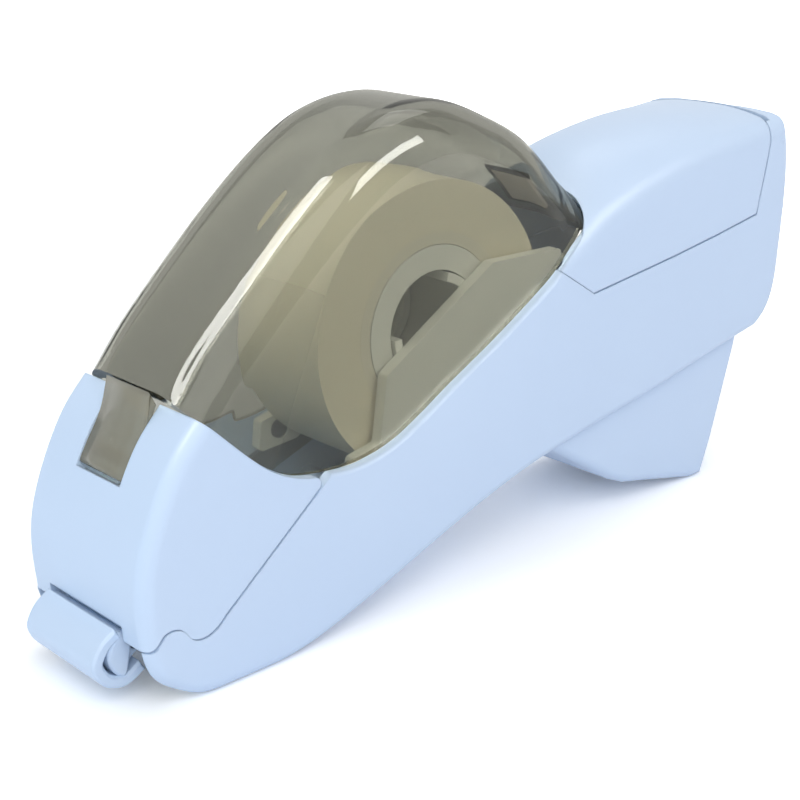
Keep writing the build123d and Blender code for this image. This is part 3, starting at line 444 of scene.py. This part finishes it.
def thick_sheet(outer, inner, kept):
    """Vertices and faces of a closed wall between two grids of points, with open cells left out.

    outer and inner are (rows, columns, 3) grids, kept a (rows - 1, columns - 1) table of the
    cells that are there. Each kept cell has a face on both grids, and each edge of a kept cell
    with no kept neighbour has a face across the wall.
    """
    rows, columns = outer.shape[:2]
    number = np.arange(rows * columns).reshape(rows, columns)
    under = number + rows * columns
    a, b, c, d = number[:-1, :-1], number[1:, :-1], number[1:, 1:], number[:-1, 1:]
    faces = [np.stack([a, b, c, d], -1)[kept]]
    a, b, c, d = under[:-1, :-1], under[1:, :-1], under[1:, 1:], under[:-1, 1:]
    faces.append(np.stack([d, c, b, a], -1)[kept])
    ringed = np.pad(kept, 1)
    along = ringed[1:-1, 1:] != ringed[1:-1, :-1]
    across = ringed[1:, 1:-1] != ringed[:-1, 1:-1]
    faces.append(np.stack([number[:-1], number[1:], under[1:], under[:-1]], -1)[along])
    faces.append(np.stack([number[:, :-1], number[:, 1:], under[:, 1:], under[:, :-1]], -1)[across])
    return np.vstack([outer.reshape(-1, 3), inner.reshape(-1, 3)]), np.vstack(faces)


def lathe(profile, middle, steps=96):
    """A closed profile of (radius, y) places turned about the axis along y through middle (x, z).

    Point (i, k) is at (x + r_k cos a_i, y_k, z + r_k sin a_i), a_i = 2 pi i / steps.
    """
    r, y = np.array(profile).T
    a = np.linspace(0, 2 * pi, steps, endpoint=False)[:, None]
    grid = np.stack([middle[0] + r * np.cos(a), y + 0 * a, middle[1] + r * np.sin(a)], -1)
    number = np.arange(steps * len(r)).reshape(steps, len(r))
    after, along = np.roll(number, -1, 0), np.roll(number, -1, 1)
    faces = np.stack([number, along, np.roll(after, -1, 1), after], -1)
    return grid.reshape(-1, 3), faces.reshape(-1, 4)


def slab(outline, half, rise=0.25 * mm, curled=False):
    """A side-view outline as a plate, half to each side of the middle plane, its rims eased.

    The outline is repeated at y = -half, -half + rise, half - rise, half. The two outer copies
    are pulled in by rise, and each is closed by one flat face. A curled outline, out along one
    line and back along another, is closed by a row of faces between its two lines.
    """
    shape = np.array(outline)
    ahead, behind = np.roll(shape, -1, 0) - shape, shape - np.roll(shape, 1, 0)
    ahead /= np.linalg.norm(ahead, axis=1)[:, None]
    behind /= np.linalg.norm(behind, axis=1)[:, None]
    way = ahead + behind
    way /= np.linalg.norm(way, axis=1)[:, None]
    turn_way = np.sign(np.sum(shape[:, 0] * np.roll(shape[:, 1], -1)
                              - shape[:, 1] * np.roll(shape[:, 0], -1)))
    inward = turn_way * np.column_stack([-way[:, 1], way[:, 0]])
    eased = shape + inward * rise
    copies = [np.insert(run, 1, y, axis=1) for run, y in (
        (eased, -half), (shape, rise - half), (shape, half - rise), (eased, half))]
    number = np.arange(4 * len(shape)).reshape(4, len(shape))
    after = np.roll(number, -1, 1)
    sides = np.stack([number[:-1], after[:-1], after[1:], number[1:]], -1).reshape(-1, 4)
    if not curled:
        return np.vstack(copies), [*sides, number[0][::-1], number[3]]
    half_way = len(shape) // 2
    there, back_again = number[:, :half_way], number[:, :half_way - 1:-1]
    caps = np.stack([there[:, :-1], there[:, 1:], back_again[:, 1:], back_again[:, :-1]], -1)
    return np.vstack(copies), [*sides, *caps[0][:, ::-1], *caps[3]]


def joined(name, parts, material, crease, body, *nodes):
    """A mesh object of several closed parts, smooth up to a crease, in place of CAD nodes."""
    grid = bmesh.new()
    for vertices, faces in parts:
        spare = bpy.data.meshes.new("spare")
        spare.from_pydata([tuple(v) for v in vertices], [], [tuple(map(int, f)) for f in faces])
        grid.from_mesh(spare)
        bpy.data.meshes.remove(spare)
    bmesh.ops.remove_doubles(grid, verts=grid.verts, dist=part_merge_gap)
    loose = [v for v in grid.verts if not v.link_faces]
    bmesh.ops.delete(grid, geom=loose, context="VERTS")
    bmesh.ops.recalc_face_normals(grid, faces=grid.faces)
    smoothed(grid, crease)
    mesh = bpy.data.meshes.new(name)
    grid.to_mesh(mesh)
    grid.free()
    mesh.materials.append(material)
    made = bpy.data.objects.new(name, mesh)
    bpy.context.scene.collection.objects.link(made)
    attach(made, body)
    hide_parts(*nodes)
    return made


# In side view a straight line runs down from each place on the crest to its place on the brim.
# The depth of a point on it is its distance from the crest, led on straight past both ends.
crest = smooth_line(spots(crest_shares), hood_rows)
brim = smooth_line(spots(brim_shares), hood_rows)
lead_in = crest[0] + (crest[0] - crest[1]) * lead_rows
lead_out = crest[-1] + (crest[-1] - crest[-2]) * lead_rows
rail = np.vstack([np.linspace(lead_in, crest[0], lead_points), crest,
                  np.linspace(crest[-1], lead_out, lead_points)])
reach = np.linspace(0, 1, down_steps)
down = crest[:, None, :] + (brim - crest)[:, None, :] * reach[None, :, None]
depth = np.array([np.min(np.linalg.norm(run[:, None, :] - rail[None], axis=2), axis=1)
                  for run in down])
across_top = np.array([0, *top_columns, tab_half, tab_half + tab_slot])


def hood_skin(start):
    """The hood's outer skin, or one that lies by start inside it, from brim to brim.

    Row i runs from crest point c_i to brim point b_i. The first columns lie at depth start
    below the crest, out to where the edge begins to turn. After that, at angle a, the depth is
    R - r cos a and y = H - R + r sin a, with H the hood's half width, R the outer radius of its
    edge, which gets smaller over the tail, and r = R - start. Past a = 90 degrees y stays at
    H - R + r down to the brim.
    """
    share = np.linspace(0, 1, edge_columns)
    rows = []
    for line, deep in zip(down, depth):
        last = deep[-1]
        outer_radius = np.interp(line[0, 0] / length + 0.5, tail_shares, (hood_radius, tail_radius))
        radius = outer_radius - start
        most = np.arccos(np.clip((outer_radius - last) / radius, 0, 1))
        straight = max(0.0, last - outer_radius)
        s = share * (radius * most + straight)
        angle = np.minimum(s / radius, most)
        below = outer_radius - radius * np.cos(angle) + np.maximum(0, s - radius * most)
        y = hood_half - outer_radius + radius * np.sin(angle)
        below = np.concatenate([np.full(len(across_top), start), below])
        y = np.concatenate([across_top, y])
        q = np.interp(below, np.maximum.accumulate(deep), reach)
        rows.append(np.column_stack([np.interp(q, reach, line[:, 0]), y,
                                     np.interp(q, reach, line[:, 1])]))
    half = np.array(rows)
    other = half[:, :0:-1].copy()
    other[..., 1] *= -1
    return np.concatenate([other, half], axis=1)


# Acrylic with a grey dye, moulded and polished: each face that light crosses takes a third of it.
# Rays to a lamp go straight through and lose little, so that the lamps reach the roll inside.
smoked = shader("smoked acrylic")
smoked_tree = smoked.node_tree
bent = node(smoked_tree, "ShaderNodeBsdfGlass", Color=linear("d1d1cc"), Roughness=0.0,
            IOR=acrylic_ior)
clear = node(smoked_tree, "ShaderNodeBsdfTransparent", Color=linear("f8f8f6"))
ray = node(smoked_tree, "ShaderNodeLightPath")
soften = node(smoked_tree, "ShaderNodeMixShader", None, {1: bent.outputs[0], 2: clear.outputs[0]},
              Fac=ray.outputs["Is Shadow Ray"])
node(smoked_tree, "ShaderNodeOutputMaterial", Surface=soften.outputs[0])

# The same acrylic where it is thin with a part close behind it, and where it is ribbed for a grip
thin_smoked = half_clear("thin smoked acrylic", "d8d4c8", "a39f8d", share=0.55, roughness=0.10)
ribbed_smoked = half_clear("ribbed smoked acrylic", "b8b2a8", "d2cabf", share=0.80,
                           roughness=0.25)

# The tab is the middle columns of the hood's rear slope, with one column of cells open along
# each side of it and one row open behind it
outer_skin, inner_skin = hood_skin(0.0), hood_skin(hood_wall)
cells = np.ones((outer_skin.shape[0] - 1, outer_skin.shape[1] - 1), bool)
tab_front, tab_rear = (int(np.argmin(np.linalg.norm(crest - spots([share]), axis=1)))
                       for share in (tab_front_share, tab_rear_share))
middle_column = (outer_skin.shape[1] - 1) // 2
cells[tab_front:tab_rear, middle_column + 3] = False
cells[tab_front:tab_rear, middle_column - 4] = False
cells[tab_rear - 1, middle_column - 4:middle_column + 4] = False
tab_cells = np.zeros_like(cells)
tab_cells[tab_front:tab_rear - 1, middle_column - 3:middle_column + 3] = True
grip_bar = [(grip_tip, -grip_half), (grip_radius, grip_ease - grip_half),
            (grip_radius, grip_half - grip_ease), (grip_tip, grip_half)]
grips = [lathe(grip_bar, crest[row], 16) for row in range(tab_front + 2, tab_rear - 6, 2)]
tongue = smooth_line(spots(tongue_shares), 60)
barrel_ring = [(barrel_bore, -tongue_half), (barrel_radius, -tongue_half),
               (barrel_radius, tongue_half), (barrel_bore, tongue_half)]

dome = joined("clear_hood", [thick_sheet(outer_skin, inner_skin, cells & ~tab_cells)], smoked,
              dome_crease, "dome", "dome_cover")
latch_tab = joined("clear_latch_tab", [thick_sheet(outer_skin, inner_skin, tab_cells), *grips],
                   ribbed_smoked, dome_crease, "dome", "dome_cover")
hinge_leaf = joined("clear_tongue", [slab(tongue, tongue_half),
                                     lathe(barrel_ring, spots([barrel_share])[0])],
                    thin_smoked, dome_crease, "dome", "dome_cover")


# Presser foot: the lip that holds the tape's end down, curled round a solid core, and the two
# webs that carry them to the pivot pin behind the nose. It is moulded in the case's pale blue
# ABS, with its edges eased more than the case's.
lip_shares = [(0.028, 0.157), (0.011, 0.136), (0.0, 0.103), (0.003, 0.074), (0.013, 0.050),
              (0.028, 0.038), (0.042, 0.040), (0.058, 0.056)]
core_shares = [(0.0300, 0.1480), (0.0390, 0.1440), (0.0455, 0.1300), (0.0450, 0.1100),
               (0.0415, 0.0840), (0.0375, 0.0600), (0.0310, 0.0575), (0.0230, 0.0730),
               (0.0182, 0.0960), (0.0198, 0.1180), (0.0245, 0.1350)]
pivot_share, elbow_share, low_share = (0.060, 0.187), (0.0550, 0.110), (0.0330, 0.0850)
lip_wall, lip_half, lip_ease = 1.8 * mm, 9.1 * mm, 0.4 * mm
core_half, core_ease = 9.0 * mm, 0.45 * mm
web_half, web_radius = 7.6 * mm, 1.5 * mm
foot_crease = radians(35)


def beside(line, gap):
    """A line moved sideways: each point p_i goes gap times the unit normal of its tangent."""
    way = np.gradient(line, axis=0)
    way /= np.linalg.norm(way, axis=1)[:, None]
    return line + gap * np.column_stack([-way[:, 1], way[:, 0]])


def stadium(start, end, radius, count=24):
    """The outline of a round-ended bar: half circles of one radius about start and about end."""
    bearing = np.arctan2(*(end - start)[::-1])
    a = np.linspace(0, pi, count)
    far = end + radius * np.column_stack([np.cos(bearing - pi / 2 + a), np.sin(bearing - pi / 2 + a)])
    near = start + radius * np.column_stack([np.cos(bearing + pi / 2 + a),
                                             np.sin(bearing + pi / 2 + a)])
    return np.vstack([far, near])


lip_line = smooth_line(spots(lip_shares), 60)
core_line = smooth_line(spots(core_shares + core_shares[:1]), 60)[:-1]
pivot, elbow, low = spots([pivot_share, elbow_share, low_share])
lip_outline = np.vstack([lip_line, beside(lip_line, lip_wall)[::-1]])
joined("lip", [slab(lip_outline, lip_half, lip_ease, curled=True)], blue_abs, foot_crease,
       "foot", "presser_foot")
joined("foot_core_bar", [slab(core_line, core_half, core_ease)], blue_abs, foot_crease,
       "foot", "foot_core")
for name, start, end in (("foot_upper_web", pivot, elbow), ("foot_lower_web", elbow, low)):
    joined(name, [slab(stadium(start, end, web_radius), web_half)], blue_abs, foot_crease,
           "foot", "foot_core")
